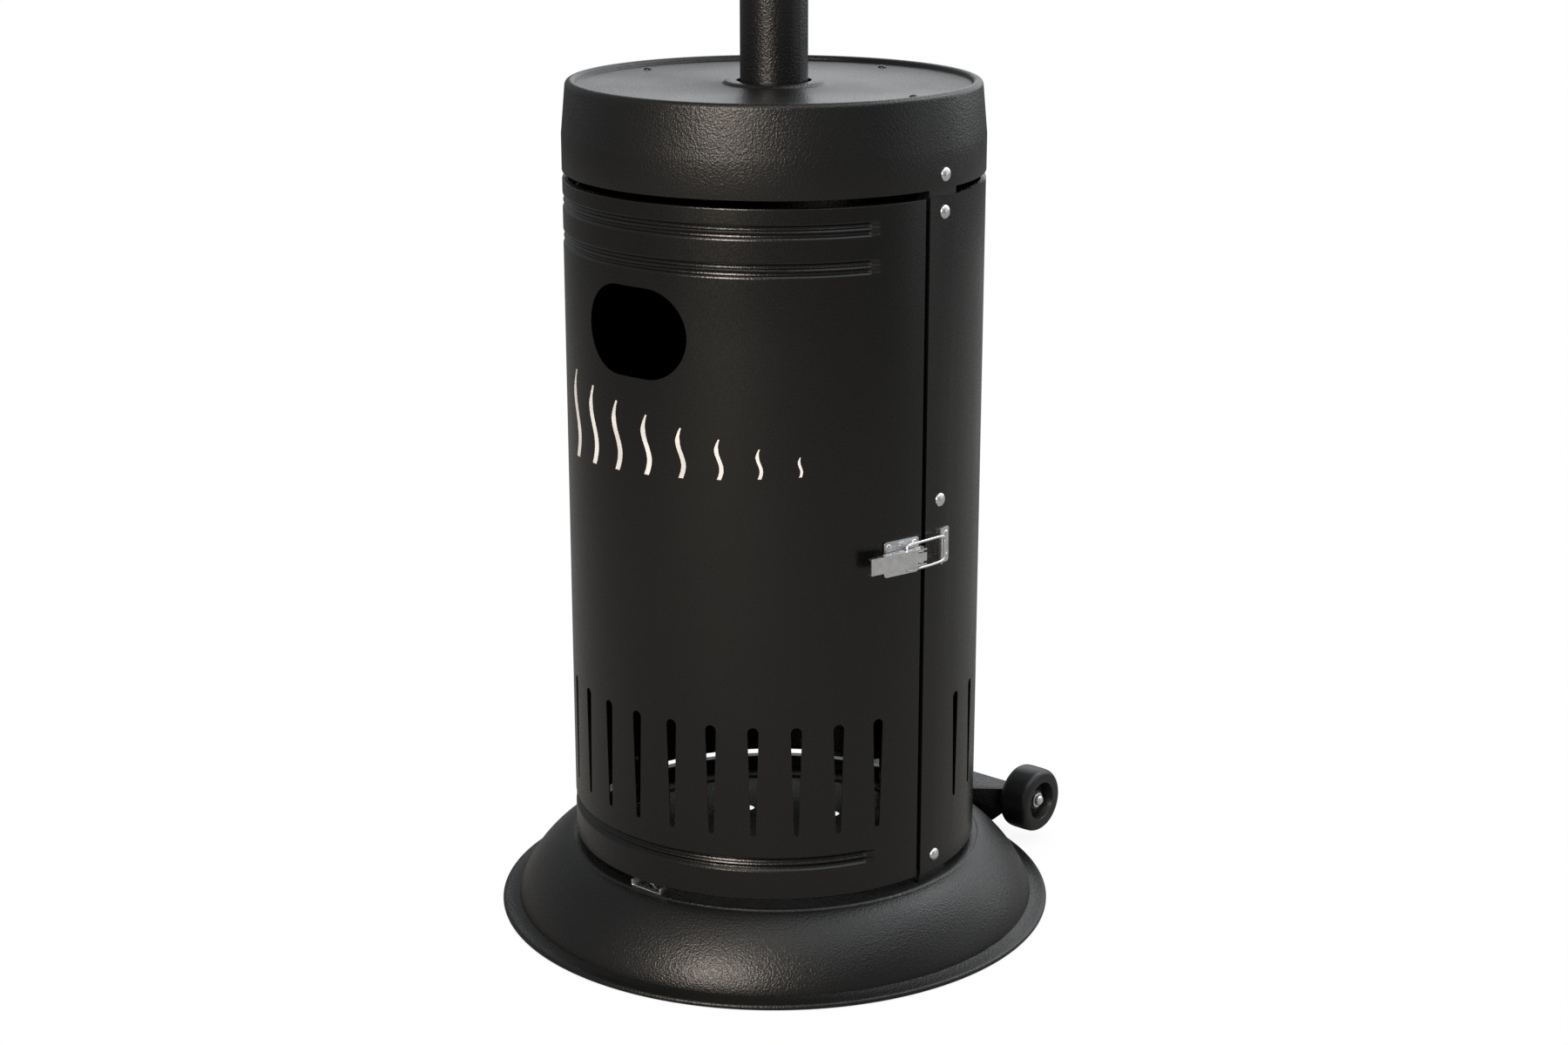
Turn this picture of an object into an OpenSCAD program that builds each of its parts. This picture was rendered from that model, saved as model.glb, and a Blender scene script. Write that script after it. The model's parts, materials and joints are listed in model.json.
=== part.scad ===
// Free-standing gas patio heater: domed base with wheels, round bottle cylinder
// with a hinged front door, pole, burner head and reflector.
// Origin on the pole's axis at floor level, +Z up, door to the front (-Y),
// latch to +X, wheels to the rear (+Y). Angles count from the front towards +X.

/* [Base] */
// Radius of the flange that stands on the floor
base_r = 276.25; // [272:0.25:280]
// Height of the base's shoulder, where the cylinder stands
shoulder_z = 67.5; // [64:0.5:70]
// How full the dome of the base is
dome_power = 1.4; // [1.2:0.1:1.8]
// Thickness of the base's steel sheet
base_sheet = 2; // [1.5:0.1:2.5]

/* [Cylinder] */
// Outer radius of the bottle cylinder
shell_r = 200; // [198:0.5:202]
// Thickness of the cylinder's steel sheet
sheet = 1.2; // [1:0.1:1.4]
// Lower edge of the door and the rear shell
shell_z0 = 77; // [76:0.5:80]
// Upper edge of the door and the rear shell
shell_z1 = 733.5; // [730:0.5:735]
// Half of the door's angle
door_half = 83.3; // [80:0.1:83.5]
// Air slots in the door
door_slots = 13; // [7:2:13]
// Angle from one air slot to the next
slot_pitch = 11.57; // [10:0.01:11.6]
// Lower end of the air slots
slot_z = 141.5; // [135:0.5:150]
// Height of the air slots
slot_h = 108.3; // [80:0.1:110]

/* [Cap] */
// Lower edge of the cap's collar
cap_z0 = 740.5; // [739:0.5:742]
// Height of the cap's top plate
plate_z = 819; // [815:1:822]

/* [Pole] */
// Outer radius of the pole
pole_r = 31.9; // [30:0.1:33]
// Upper end of the pole
pole_top = 1680; // [1600:10:1700]

/* [Head] */
// Radius of the control housing
housing_r = 98; // [94:1:102]
// Height of the control housing
housing_h = 110; // [105:1:120]
// Radius of the emitter screen
emitter_r = 90; // [85:1:92]
// Height of the emitter screen
emitter_h = 280; // [260:5:300]
// Radius of the reflector
reflector_r = 406.5; // [390:0.5:420]
// Rise of the reflector from its rim to its crown
reflector_rise = 118; // [100:1:130]

/* [Wheels] */
// Radius of a wheel
wheel_r = 34; // [32:0.5:34]
// Width of a wheel
wheel_w = 36; // [30:1:38]
// Distance from the centre line to the middle of a wheel
wheel_x = 120.5; // [120:0.5:124]

/* [Latch] */
// Height of the latch's centre line
latch_z = 404.5; // [390:0.5:430]
// Angle round the cylinder at the middle of the latch
latch_a = 76; // [75:0.5:76.5]

/* [Hidden] */
$fn = 96;
black = [0.13, 0.13, 0.14];
zinc = [0.72, 0.73, 0.75];
steel = [0.6, 0.61, 0.63];
brass = [0.75, 0.6, 0.3];
rubber = [0.07, 0.07, 0.07];
ring_z = 69.5;                    // top of the base's neck, where the posts stand
well_r = 194;                     // the bottle well inside the neck
well_z = 55;
post_half = 5.85;                 // half of a post's angle
post_angles = [90.75, -90.75, 180];
post_in = shell_r - sheet - 1.8;  // the post's web, close inside the shells
post_t = 1.5;
plate_screw_r = 163.5;
post_screw_z = [92.6, 449.4, 719];
collar_screw_z = 753;
hinge_a = -84.1;
hinge_r = shell_r + 4.4;
hinge_z = [190, 620];
hinge_h = 60;
knuckle_r = 3.8;
pin_r = 2;
run_gap = 0.05;                   // radial clearance of a pin that turns
leaf_a = 5;                       // angle from a hinge's pin to its rivets
rivet_s = [-18, 18];              // and their heights from its middle
strike_rivet_a = 93.2;
strike_s = [-11, 11];
latch_rivets_at = [[-15, -12], [-15, 12], [15, -12], [15, 12]];
latch_pin_v = 16.5;               // lever pivot, along the latch
latch_pin_u = 8.5;                // and out from the door
bail_v = latch_pin_v - 15;
bail_u = 8;
bail_wire = 1.25;
strike_a = 90.2;
bracket_z0 = 17;
bracket_z1 = 53;
axle_y = 277;
axle_z = 45.5;
axle_r = 4;
bracket_bolts_at = [[-25, 240], [25, 240]];
hub_in = 20.4;                    // from the wheel's middle to the ends of its hub
hub_out = 9.2;
washer_t = 1.2;
washer_x = [wheel_x - hub_in - 0.3 - washer_t, wheel_x + hub_out + 0.5];
axle_cap_x = washer_x[1] + washer_t + 0.1;
housing_z = pole_top + 6;
lid_z = housing_z + housing_h;
screen_z = lid_z + 2;
screen_top = screen_z + emitter_h;
reflector_z = screen_top + 20;
crown_r = 95;                     // flat middle of the reflector
stud_r = 60;
knob_z = housing_z + 52;
knob_y = -housing_r - 5;           // the knob's back, clear of the panel
button_a = 26;

// One point of a circle
function ring_point(r, a, c = [0, 0]) = [c[0] + r * cos(a), c[1] + r * sin(a)];
// Points along an arc
function arc(r, a0, a1, n, c = [0, 0]) =
    [for (i = [0:n]) ring_point(r, a0 + (a1 - a0) * i / n, c)];
// Side view of the base's dome, d outside its sheet, from the flange up
function dome_point(s, d) = let (
    foot = [259.6, 7], top = [206, shoulder_z],
    p = [top[0] + (foot[0] - top[0]) * pow(cos(s), 2 / dome_power),
         foot[1] + (top[1] - foot[1]) * pow(sin(s), 2 / dome_power)],
    n = [cos(s * 0.6 + 15), sin(s * 0.6 + 15)]) p + d * n;
function dome(d) = [for (s = [2:86 / 14:88]) dome_point(s, d)];
// Height of the reflector above its rim, at the distance r from the axis
function bowl_z(r) = reflector_rise
    * (1 - pow(max(0, r - crown_r) / (reflector_r - crown_r), 1.8));
function bowl(r0, r1, n, d) = [for (i = [0:n])
    let (r = r0 + (r1 - r0) * i / n) [r, reflector_z + bowl_z(r) + d]];
function backwards(l) = [for (i = [len(l) - 1:-1:0]) l[i]];
// Outline of an upright slot with round ends, wider at its top
function slot_outline(w0, w1, h) = concat(
    arc(w0 / 2, 180, 360, 8, [0, w0 / 2]), arc(w1 / 2, 0, 180, 8, [0, h - w1 / 2]));
// Outline of a lying slot with round ends
function lying_slot(l, h) = concat(
    arc(h / 2, -90, 90, 12, [l / 2 - h / 2, 0]), arc(h / 2, 90, 270, 12, [h / 2 - l / 2, 0]));

// Puts a part at an angle round the axis: its x points outwards
module at(a, r = 0, z = 0) rotate([0, 0, a - 90]) translate([r, 0, z]) children();
// Sweeps a side view round the axis from one angle to another
module sweep(a0, a1) rotate([0, 0, a0 - 90]) rotate_extrude(angle = a1 - a0, $fn = 180)
    children();
module wall(r0, r1, z0, z1, a0, a1) sweep(a0, a1)
    translate([r0, z0]) square([r1 - r0, z1 - z0]);
module ring(r0, r1, z0, z1) rotate_extrude($fn = 180)
    translate([r0, z0]) square([r1 - r0, z1 - z0]);
// Pushes a flat outline outwards through a wall
module outward(t) rotate([90, 0, 90]) linear_extrude(t) children();
// A screw along x with a domed head, whose underside is at x = 0
module screw(head_r, head_h, shank_r, shank_l) rotate([0, 90, 0]) {
    rotate_extrude() polygon(concat([[0, 0]], [for (s = [0:15:90])
        [head_r * cos(s), head_h * sin(s)]]));
    translate([0, 0, -shank_l]) cylinder(r = shank_r, h = shank_l + 0.4);
}
// Cuts a rivet's hole through the shell and what lies on it
module rivet_hole(a, z) at(a, shell_r - 3, z) rotate([0, 90, 0]) cylinder(r = 1.8, h = 8);
module hex_bolt(af, head_h, shank_r, shank_l) {
    cylinder(r = af / sqrt(3), h = head_h, $fn = 6);
    translate([0, 0, -shank_l]) cylinder(r = shank_r, h = shank_l + 0.2);
}

// A wire or thin tube in straight stretches, with a ball a little fatter at each bend
module rod_path(points, r) for (i = [0:len(points) - 2]) let (
    d = points[i + 1] - points[i], l = norm(d)) translate(points[i]) {
        sphere(r = r * 1.06, $fn = 48);
        rotate([0, acos(d[2] / l), atan2(d[1], d[0])]) cylinder(r = r, h = l, $fn = 48);
    }

// --- base ---

module base_skirt() color(black) difference() {
    rotate_extrude($fn = 180) polygon(concat(
        [[base_r - 2, 0], [base_r, 2], [base_r, 4.5], [base_r - 1.5, 5.5], [262.5, 6.6]],
        dome(0), [[204.6, ring_z - 0.8], [202.5, ring_z], [well_r, ring_z],
            [well_r, well_z], [180, well_z], [180, well_z - base_sheet],
            [well_r + base_sheet, well_z - base_sheet],
            [well_r + base_sheet, ring_z - base_sheet], [202, ring_z - base_sheet]],
        backwards(dome(-base_sheet)),
        [[261, 4.2], [base_r - 4.5, 3.4], [base_r - 4.5, 0]]));
    for (a = post_angles, s = [-3, 3]) at(a + s, well_r - 2, 63)
        rotate([0, 90, 0]) cylinder(r = 2.5, h = 6);
    for (p = bracket_bolts_at) translate([p[0], p[1], 30]) cylinder(r = 3.2, h = 30);
}

module bottle_tray() color(black) difference() {
    rotate_extrude($fn = 180) polygon([[0, well_z - 2], [168, well_z - 2], [172, well_z + 0.1],
        [191.5, well_z + 0.1], [191.5, well_z + 1.6], [171, well_z + 1.6],
        [167, well_z - 0.4], [0, well_z - 0.4]]);
    for (a = [0:60:300]) at(a, 90, well_z - 6) cylinder(r = 9, h = 10);
}

// --- posts, rear shell and cap ---

module post(a) {
    a0 = a - post_half;
    a1 = a + post_half;
    tab_z = plate_z - 1.7;
    difference() {
        union() {
            wall(post_in, post_in + post_t, ring_z + 0.1, 771.5, a0, a1);
            for (e = [a0, a1 - 0.45]) wall(post_in - 13, post_in + 0.5, 82, 765, e, e + 0.45);
            // foot over the neck of the base
            wall(well_r - 1.8, post_in + post_t, ring_z + 0.1, ring_z + 1.6, a0, a1);
            wall(well_r - 1.8, well_r - 0.3, well_z + 1.8, ring_z + 1, a0, a1);
            // head, stepped in under the cap's plate
            wall(191, post_in + post_t, 770, 771.5, a0, a1);
            wall(191, 192.5, 770, tab_z, a0, a1);
            wall(150, 192.5, tab_z - post_t, tab_z, a0, a1);
        }
        for (z = concat(post_screw_z, [collar_screw_z])) at(a, post_in - 3, z)
            rotate([0, 90, 0]) cylinder(r = 2.5, h = 8);
        at(a, plate_screw_r, tab_z - 4) cylinder(r = 2.5, h = 8);
        for (s = [-3, 3]) at(a + s, well_r - 5, 63) rotate([0, 90, 0]) cylinder(r = 2.5, h = 8);
    }
}
module post_latch_side() color(black) post(post_angles[0]);
module post_hinge_side() color(black) post(post_angles[1]);
module post_rear() color(black) post(post_angles[2]);

module post_bolts() color(zinc) for (a = post_angles, s = [-3, 3])
    at(a + s, well_r - 1.9, 63) rotate([0, -90, 0]) hex_bolt(8, 3.2, 2.4, 3.4);

module air_slots(angles) for (a = angles) at(a, shell_r - 8, slot_z)
    outward(16) polygon(slot_outline(5, 10.5, slot_h));

module rear_shell() color(black) difference() {
    union() {
        wall(shell_r - sheet, shell_r, shell_z0, shell_z1, 84.9, 275.1);
        for (z = [shell_z0 + 0.3, shell_z1 - 1.5])
            wall(shell_r - 5, shell_r - 0.6, z, z + 1.2, 98, 173.2);
        for (z = [shell_z0 + 0.3, shell_z1 - 1.5])
            wall(shell_r - 5, shell_r - 0.6, z, z + 1.2, 186.8, 262);
    }
    air_slots([for (i = [-7:7]) if (i != 0) 180 + i * 11.3]);
    for (a = post_angles, z = post_screw_z) at(a, shell_r - 6, z)
        rotate([0, 90, 0]) cylinder(r = 2.5, h = 8);
    for (z = hinge_z, s = rivet_s) rivet_hole(hinge_a - leaf_a, z + s);
    for (s = strike_s) rivet_hole(strike_rivet_a, latch_z + s);
}

module shell_screws() color(zinc) for (a = post_angles, z = post_screw_z)
    at(a, shell_r + 0.05, z) screw(6.5, 3.4, 2.4, 6);

module top_cap() color(black) difference() {
    rotate_extrude($fn = 180) polygon(concat(
        [[shell_r + 0.2, cap_z0], [shell_r + 0.2, 775]], arc(5, 0, 90, 6, [191, plate_z]),
        [[188, plate_z + 4.8], [185.8, plate_z], [48.5, plate_z], [46.5, plate_z + 3],
         [35.5, plate_z + 3], [35.5, plate_z + 1.5], [45.5, plate_z + 1.5],
         [47.5, plate_z - 1.5], [187, plate_z - 1.5], [189.2, plate_z + 3.4]],
        arc(3.5, 90, 0, 6, [191, plate_z]), [[shell_r - 1.3, 775], [shell_r - 1.3, cap_z0]]));
    for (a = post_angles) {
        at(a, shell_r - 6, collar_screw_z) rotate([0, 90, 0]) cylinder(r = 2.5, h = 9);
        at(a, plate_screw_r, plate_z - 5) cylinder(r = 2.5, h = 9);
    }
}

module cap_screws() color(zinc) for (a = post_angles) {
    at(a, shell_r + 0.25, collar_screw_z) screw(6.5, 3.4, 2.4, 6);
    at(a, plate_screw_r, plate_z + 0.05) rotate([0, -90, 0]) screw(4.2, 2.4, 2.4, 6);
}

// --- pole ---

module pole_socket() color(black) difference() {
    union() {
        ring(pole_r + 0.1, 74, plate_z - 5.6, plate_z - 1.6);
        ring(pole_r + 0.1, 34.9, plate_z - 34, plate_z - 1.6);
    }
    for (a = [45:90:315]) at(a, 60, plate_z - 8) cylinder(r = 3.2, h = 9);
}
module socket_nuts() color(zinc) for (a = [45:90:315]) at(a, 60, plate_z - 1.6) {
    translate([0, 0, -12]) cylinder(r = 3, h = 12);
    translate([0, 0, -9.2]) cylinder(r = 10 / sqrt(3), h = 5, $fn = 6);
}
module pole() color(black) ring(pole_r - 1.5, pole_r, plate_z - 32, pole_top);

// --- door rest, hinges, latch ---

module door_rest() color(zinc) translate([10, -193, ring_z + 0.1]) difference() {
    translate([-19, -9, 0]) cube([38, 18, 6.6]);
    translate([-17.5, -10, 1.5]) cube([35, 20, 6.6]);
    translate([0, 5, -1]) cylinder(r = 2.5, h = 4);
}

// A hinge leaf curved to the shell, with its knuckles; side is -1 behind the pin, 1 before it
module leaf(z, side, knuckles) difference() {
    near = hinge_a + side * 2.1;
    far = hinge_a + side * 8;
    union() {
        wall(shell_r + 0.05, shell_r + 1.45, z - hinge_h / 2, z + hinge_h / 2,
            min(near, far), max(near, far));
        for (k = knuckles) at(hinge_a, 0, z + k[0]) {
            translate([hinge_r, 0, 0]) cylinder(r = knuckle_r, h = k[1]);
            translate([shell_r + 0.3, side > 0 ? 0 : -9, 0]) cube([1.3, 9, k[1]]);
        }
    }
    at(hinge_a, hinge_r, z - 40) cylinder(r = pin_r + run_gap, h = 80);
    for (s = rivet_s) rivet_hole(hinge_a + side * leaf_a, z + s);
}
module hinge_post_leaves() color(black) for (z = hinge_z)
    leaf(z, -1, [[-hinge_h / 2, 19.7], [10.3, 19.7]]);
module hinge_door_leaves() color(black) for (z = hinge_z)
    leaf(z, 1, [[-9.9, 19.8]]);
module hinge_pins() color(steel) for (z = hinge_z) at(hinge_a, hinge_r, z) {
    translate([0, 0, -hinge_h / 2 - 1]) cylinder(r = pin_r, h = hinge_h + 2);
    for (s = [-hinge_h / 2 - 1.2, hinge_h / 2 + 0.2]) translate([0, 0, s])
        cylinder(r = 3.2, h = 1);
}
module leaf_rivets(side) for (z = hinge_z, s = rivet_s)
    at(hinge_a + side * leaf_a, shell_r + 1.5, z + s) screw(3, 1.4, 1.7, 2.65);
module hinge_post_rivets() color(steel) leaf_rivets(-1);
module hinge_door_rivets() color(steel) leaf_rivets(1);

module strike_plate() color(zinc) difference() {
    union() {
        wall(shell_r + 0.05, shell_r + 1.55, latch_z - 17, latch_z + 17, strike_a, 94.6);
        wall(shell_r + 0.05, shell_r + 4.4, latch_z - 17, latch_z + 17,
            strike_a, strike_a + 0.45);
        wall(shell_r + 3.2, shell_r + 4.4, latch_z - 13, latch_z + 13,
            strike_a, strike_a + 1.3);
    }
    for (s = strike_s) rivet_hole(strike_rivet_a, latch_z + s);
}
module strike_rivets() color(zinc) for (s = strike_s)
    at(strike_rivet_a, shell_r + 1.6, latch_z + s) screw(3, 1.4, 1.7, 2.75);

// The latch stands flat on the door: x outwards, y along it, z up
module on_latch() at(latch_a, shell_r, latch_z) children();
module rod_z(u, v, r, z0, z1) translate([u, v, z0]) cylinder(r = r, h = z1 - z0);
module latch_rivet_holes() for (p = latch_rivets_at) translate([-4, p[0], p[1]])
    rotate([0, 90, 0]) cylinder(r = 1.8, h = 8);

module latch_base() color(zinc) on_latch() difference() {
    union() {
        translate([0.06, -20, -17]) cube([1.5, 40, 34]);
        for (z = [-6, 4.5]) {
            translate([1, latch_pin_v - 3, z]) cube([latch_pin_u - 1, 6, 1.5]);
            rod_z(latch_pin_u, latch_pin_v, 3.2, z, z + 1.5);
        }
    }
    rod_z(latch_pin_u, latch_pin_v, 2.02, -8, 8);
    latch_rivet_holes();
}
module latch_pin() color(steel) on_latch() {
    rod_z(latch_pin_u, latch_pin_v, 2, -8.4, 8.4);
    for (z = [-9.3, 8.3]) rod_z(latch_pin_u, latch_pin_v, 3, z, z + 1);
}
module latch_rivets() color(zinc) on_latch() for (p = latch_rivets_at)
    translate([1.6, p[0], p[1]]) screw(2.8, 1.2, 1.7, 3.4);

module latch_lever() color(zinc) on_latch() difference() {
    union() {
        translate([latch_pin_u + 3.3, -43.5, -8]) cube([1.2, latch_pin_v + 47.8, 16]);
        for (z = [-8, 6.6]) translate([0, 0, z]) linear_extrude(1.4) polygon(concat(
            [[latch_pin_u + 4.5, -43.5], [latch_pin_u + 0.8, -43.5],
             [bail_u - 3.4, bail_v - 7]],
            arc(3.6, 240, 300, 4, [bail_u, bail_v]),
            arc(4.2, 200, 330, 6, [latch_pin_u, latch_pin_v]),
            [[latch_pin_u + 4.5, latch_pin_v + 4.3]]));
    }
    rod_z(latch_pin_u, latch_pin_v, 2 + run_gap, -9, 9);
    rod_z(bail_u, bail_v, bail_wire + run_gap, -9, 9);
    // slits that clear the base's lugs as the lever swings over
    for (z = [-6.4, 4.1]) translate([latch_pin_u + 3, latch_pin_v - 6, z]) cube([3, 12, 2.3]);
}

module latch_bail() color(zinc) on_latch() {
    bar = [0.95, 51.6];
    leg = 11.5;
    for (s = [-1, 1]) {
        rod_z(bail_u, bail_v, bail_wire, s > 0 ? 6.2 : -leg, s > 0 ? leg : -6.2);
        rod_path([[bail_u, bail_v, s * leg], [5.2, 28, s * (leg + 1)],
            [2.4, 45, s * (leg + 1)], [bar[0], bar[1], s * (leg - 3)], [bar[0], bar[1], 0]],
            bail_wire);
    }
}

// --- door ---

// A pressed bead: two grooves side by side, pointed at both ends
module bead_wall(z) sweep(-69.6, 69.6) polygon([[shell_r - 0.6, z + 8.4],
    [shell_r - 4.6, z + 4.6], [shell_r - 4.6, z - 3.8], [shell_r - 0.6, z - 7.6]]);
module bead_cut(z) {
    sweep(-66.4, 66.4) polygon([[shell_r + 1, z + 7.4], [shell_r, z + 6.6],
        [shell_r - 3.2, z + 3.6], [shell_r - 0.7, z + 0.4], [shell_r - 3.2, z - 2.8],
        [shell_r, z - 5.8], [shell_r + 1, z - 6.6]]);
    for (s = [-1, 1]) at(s * 66.6, shell_r + 1.1, z + 0.4) rotate([-s * 90, 0, 0])
        cylinder(r1 = 4.1, r2 = 0.6, h = 11);
}
module door_panel() color(black) difference() {
    union() {
        wall(shell_r - sheet, shell_r, shell_z0, shell_z1, -door_half, door_half);
        for (z = [shell_z0 + 0.3, shell_z1 - 1.5])
            wall(shell_r - 5, shell_r - 0.6, z, z + 1.2, -78, 82);
        wall(shell_r - 9, shell_r - 0.6, shell_z0 + 5, shell_z1 - 5, door_half - 0.4, door_half);
        for (z = [712, 678, 112.5]) bead_wall(z);
    }
    for (z = [712, 678, 112.5]) bead_cut(z);
    air_slots([for (i = [0:door_slots - 1]) (i - (door_slots - 1) / 2) * slot_pitch]);
    at(0.3, shell_r - 30, 614) outward(40) polygon(lying_slot(118, 84));
    for (z = hinge_z, s = rivet_s) rivet_hole(hinge_a + leaf_a, z + s);
    on_latch() latch_rivet_holes();
}

// --- wheels ---

module wheel_bracket() color(black) difference() {
    union() {
        translate([0, 0, bracket_z0]) linear_extrude(bracket_z1 - bracket_z0)
            polygon([[-97, 284], [97, 284], [97, 264], [48, 226], [-48, 226], [-97, 264]]);
    }
    translate([0, 0, bracket_z0 - 1]) linear_extrude(bracket_z1 - bracket_z0 - 1)
        polygon([[-94.5, 281.5], [94.5, 281.5], [94.5, 265.3], [46, 227.6], [-46, 227.6],
            [-94.5, 265.3]]);
    rotate_extrude($fn = 180) polygon(concat([[0, -1], [base_r + 1, -1], [base_r + 1, 10],
        [262, 10]], dome(0.4), [[206, shoulder_z + 2], [0, shoulder_z + 2]]));
    for (x = [-1, 1]) translate([x * 96, axle_y, axle_z]) rotate([0, 90, 0])
        cylinder(r = axle_r + 0.02, h = 6, center = true);
    for (x = [-1, 1]) translate([x * 97, 275, bracket_z0]) rotate([0, x * 45, 0])
        cube([14, 40, 14], center = true);
    for (p = bracket_bolts_at) translate([p[0], p[1], 45]) cylinder(r = 3.2, h = 12);
}
module bracket_bolts() color(zinc) for (p = bracket_bolts_at)
    translate([p[0], p[1], bracket_z1 + 0.05]) hex_bolt(10, 4, 3, 16);
module axle() color(steel) translate([0, axle_y, axle_z]) rotate([0, 90, 0])
    cylinder(r = axle_r, h = 2 * (axle_cap_x + 1.5), center = true);
module axle_washers() color(zinc) for (s = [-1, 1], x = washer_x)
    translate([s * x, axle_y, axle_z]) rotate([0, s * 90, 0]) difference() {
        cylinder(r = 8, h = washer_t);
        translate([0, 0, -1]) cylinder(r = axle_r + 0.02, h = 4);
    }
module axle_caps() color(zinc) for (s = [-1, 1])
    translate([s * axle_cap_x, axle_y, axle_z]) rotate([0, s * 90, 0]) difference() {
        rotate_extrude() polygon(concat([[0, 0], [6, 0]],
            [for (t = [0:15:90]) [5.6 * cos(t), 1.6 + 3.6 * sin(t)]]));
        translate([0, 0, -1]) cylinder(r = axle_r + 0.02, h = 2.6);
    }
module wheel(s) color(rubber) translate([s * wheel_x, axle_y, axle_z])
    rotate([0, s * 90, 0]) difference() {
        rotate_extrude($fn = 120) polygon(concat(
            [[axle_r + run_gap, -hub_in], [11, -hub_in], [11, -3], [22, -3],
             [23, -wheel_w / 2 + 3]],
            [for (t = [-90:15:90]) [wheel_r - 9 + 9 * cos(t), (wheel_w / 2) * sin(t)]],
            [[23, wheel_w / 2 - 3], [22, 3], [11, 3], [11, hub_out], [axle_r + run_gap, hub_out]]));
        for (a = [0:60:300]) rotate([0, 0, a]) translate([16.5, 0, -5])
            cylinder(r = 3.4, h = 10);
    }
module wheel_left() wheel(-1);
module wheel_right() wheel(1);

// --- head ---

module head_flange() color(black) difference() {
    union() {
        ring(pole_r + 0.1, 58, pole_top, pole_top + 4);
        ring(pole_r + 0.1, 34.9, pole_top - 24, pole_top + 4);
    }
    for (a = [45:90:315]) at(a, 48, pole_top - 2) cylinder(r = 3.2, h = 9);
}
module head_flange_bolts() color(zinc) for (a = [45:90:315]) at(a, 48, pole_top - 0.05) {
    rotate([180, 0, 0]) hex_bolt(10, 4, 3, 12);
    translate([0, 0, 5.8]) cylinder(r = 10 / sqrt(3), h = 5, $fn = 6);
}

module control_housing() color(black) difference() {
    rotate_extrude($fn = 180) polygon([[34, housing_z - 1.9], [62, housing_z - 1.9],
        [housing_r, housing_z + 22], [housing_r, lid_z], [housing_r - 1.4, lid_z],
        [housing_r - 1.4, housing_z + 22.6], [61.4, housing_z - 0.4], [34, housing_z - 0.4]]);
    for (a = [45:90:315]) at(a, 48, housing_z - 4) cylinder(r = 3.2, h = 9);
    at(0, housing_r - 10, knob_z) rotate([0, 90, 0]) cylinder(r = 14, h = 20);
    at(button_a, housing_r - 10, knob_z) rotate([0, 90, 0]) cylinder(r = 9, h = 20);
    for (a = [150:15:210]) at(a, housing_r - 8, housing_z + 36)
        outward(16) polygon(slot_outline(6, 6, 50));
}
module control_panel() color(steel) difference() {
    wall(housing_r + 0.1, housing_r + 1.3, knob_z - 24, knob_z + 24, -40, 40);
    at(0, housing_r - 10, knob_z) rotate([0, 90, 0]) cylinder(r = 14, h = 20);
    at(button_a, housing_r - 10, knob_z) rotate([0, 90, 0]) cylinder(r = 9, h = 20);
}
module housing_lid() color(steel) rotate_extrude($fn = 180) polygon([[45, lid_z + 0.1],
    [housing_r + 0.1, lid_z + 0.1], [housing_r + 0.1, lid_z - 8],
    [housing_r + 1.5, lid_z - 8], [housing_r + 1.5, lid_z + 1.5], [45, lid_z + 1.5]]);

// The valve's jet points up the axis; its spindle points to the front
module gas_valve() color(brass) at(0, 0, knob_z) difference() {
    union() {
        translate([-14, -14, -16]) cube([76, 28, 32]);
        translate([60, 0, 0]) rotate([0, 90, 0]) cylinder(r = 12, h = 18);
    }
    translate([50, 0, 0]) rotate([0, 90, 0]) cylinder(r = 8 + run_gap, h = 40);
}
module gas_inlet() color(brass) translate([0, 0, knob_z - 16.1]) rotate([180, 0, 0]) {
    cylinder(r = 8, h = 8, $fn = 6);
    cylinder(r = 4.5, h = 26);
}
module gas_jet() color(brass) translate([0, 0, knob_z + 16.1]) {
    cylinder(r = 6, h = 6, $fn = 6);
    cylinder(r = 3.5, h = 13);
}
module mixer_tube() color(steel) difference() {
    ring(11.5, 13, knob_z + 24, screen_z + 20);
    for (a = [0:90:270]) at(a, 5, knob_z + 34) rotate([0, 90, 0]) cylinder(r = 4, h = 12);
}
module burner_cup() color(steel) difference() {
    rotate_extrude($fn = 120) polygon([[13.1, screen_z + 8], [62, screen_z + 8],
        [66, screen_z + 12], [66, screen_z + 52], [30, screen_z + 60], [0, screen_z + 60],
        [0, screen_z + 58.5], [29.8, screen_z + 58.5], [64.5, screen_z + 50.8],
        [64.5, screen_z + 12.6], [61.4, screen_z + 9.5], [13.1, screen_z + 9.5]]);
    for (a = [0:20:340]) at(a, 46, screen_z + 45) cylinder(r = 3, h = 20);
    for (a = [0:60:300]) at(a, 18, screen_z + 45) cylinder(r = 3, h = 20);
}

// A thin tube screwed into the valve's top with a gland nut
module valve_tube(x, y, r, points) {
    translate([x, y, knob_z + 16.1]) cylinder(r = 4, h = 6, $fn = 6);
    rod_path(concat([[x, y, knob_z + 18.3]], points), r);
}
module pilot_tube() color(brass) valve_tube(8, -30, 2, [[24, -30, lid_z - 16],
    [38, 0, lid_z - 8], [38, 0, screen_z + 4], [72, 0, screen_z + 5], [72, 0, screen_z + 56]]);
module thermocouple() color(brass) valve_tube(9, -16, 1.6, [[26, 10, knob_z + 30],
    [36, 14, lid_z - 6], [36, 14, screen_z + 4], [74, 14, screen_z + 5],
    [74, 14, screen_z + 60]]);
module spark_electrode() color([0.9, 0.88, 0.82]) {
    translate([72, -14, screen_z + 10]) cylinder(r = 4, h = 34);
    translate([72, -14, screen_z + 0.1]) cylinder(r = 1.5, h = 10);
    translate([72, -14, screen_z + 44]) cylinder(r = 1.2, h = 20);
}

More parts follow.
